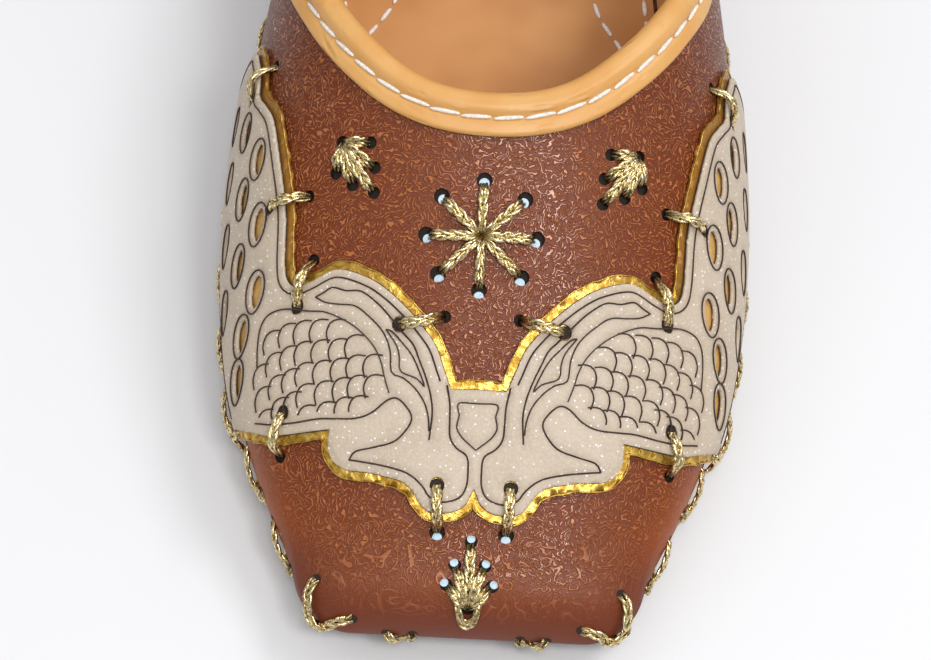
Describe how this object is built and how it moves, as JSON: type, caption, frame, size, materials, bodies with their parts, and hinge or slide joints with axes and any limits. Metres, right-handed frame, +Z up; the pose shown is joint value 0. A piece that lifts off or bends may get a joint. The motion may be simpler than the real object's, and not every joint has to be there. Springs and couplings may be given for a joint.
{
  "type": "mojari shoe",
  "caption": "Low slip-on leather shoe with a square toe, bound collar, thin sole, low heel and a cut peacock overlay across the vamp.",
  "frame": {"origin": "middle of the shoe's length and width, on the floor it stands on", "axes": "+Y from the toe to the heel, +X to the side, +Z up from the floor"},
  "size_m": [0.0942, 0.25, 0.0639],
  "materials": {
    "upper_leather": "chestnut vegetable-tanned leather, embossed with a curling grain, waxed",
    "binding_leather": "smooth honey-tan leather, folded over the collar and stitched",
    "overlay_leather": "cream leather with a fine glitter coat, cut and engraved",
    "gold_foil": "gold foil on a thin leather backing",
    "outsole_leather": "hard sole leather, edge burnished",
    "heel_leather": "stacked sole leather, edge burnished",
    "insole_leather": "smooth tan lining leather on a thin pad"
  },
  "bodies": {
    "root": {"outsole": "outsole_leather", "heel": "heel_leather", "insole": "insole_leather", "upper": "upper_leather", "gold_backing": "gold_foil", "peacock_overlay": "overlay_leather", "collar_binding": "binding_leather"}
  },
  "joints": []
}
